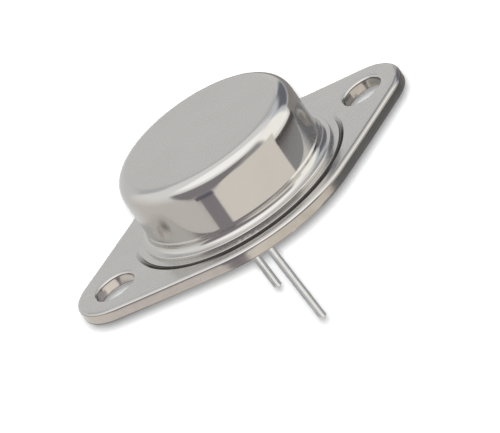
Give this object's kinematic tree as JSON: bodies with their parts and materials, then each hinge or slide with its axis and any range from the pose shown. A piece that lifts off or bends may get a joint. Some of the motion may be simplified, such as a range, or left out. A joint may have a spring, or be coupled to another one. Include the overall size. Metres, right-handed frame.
{
  "type": "power transistor",
  "caption": "Metal-can power transistor on an oval two-hole flange, with two round leads below.",
  "frame": {"origin": "middle of the mounting face (the flat underside of the flange), halfway between the two mounting holes", "axes": "+X along the line of the mounting holes, away from the leads; +Z from the mounting face towards the top of the can; the leads point down -Z and leave the face at x = -1.8 mm"},
  "size_m": [0.0384, 0.0262, 0.0205],
  "materials": {
    "flange": "satin nickel plate",
    "can": "bright nickel plate on drawn steel",
    "leads": "bright solder-coated wire",
    "seal_glass": "dark sealing glass",
    "copper": "copper, satin",
    "braze": "silver braze",
    "solder": "dull solder",
    "silicon": "polished silicon with pale metal pads",
    "bond_wire": "soft aluminium wire"
  },
  "bodies": {
    "root": {"base_plate": "flange", "cap": "can", "emitter_lead": "leads", "base_lead": "leads", "emitter_seal": "seal_glass", "base_seal": "seal_glass", "heat_spreader": "copper", "spreader_braze": "braze", "die_solder": "solder", "silicon_die": "silicon", "emitter_bond_wire_1": "bond_wire", "emitter_bond_wire_2": "bond_wire", "base_bond_wire": "bond_wire"}
  },
  "joints": []
}
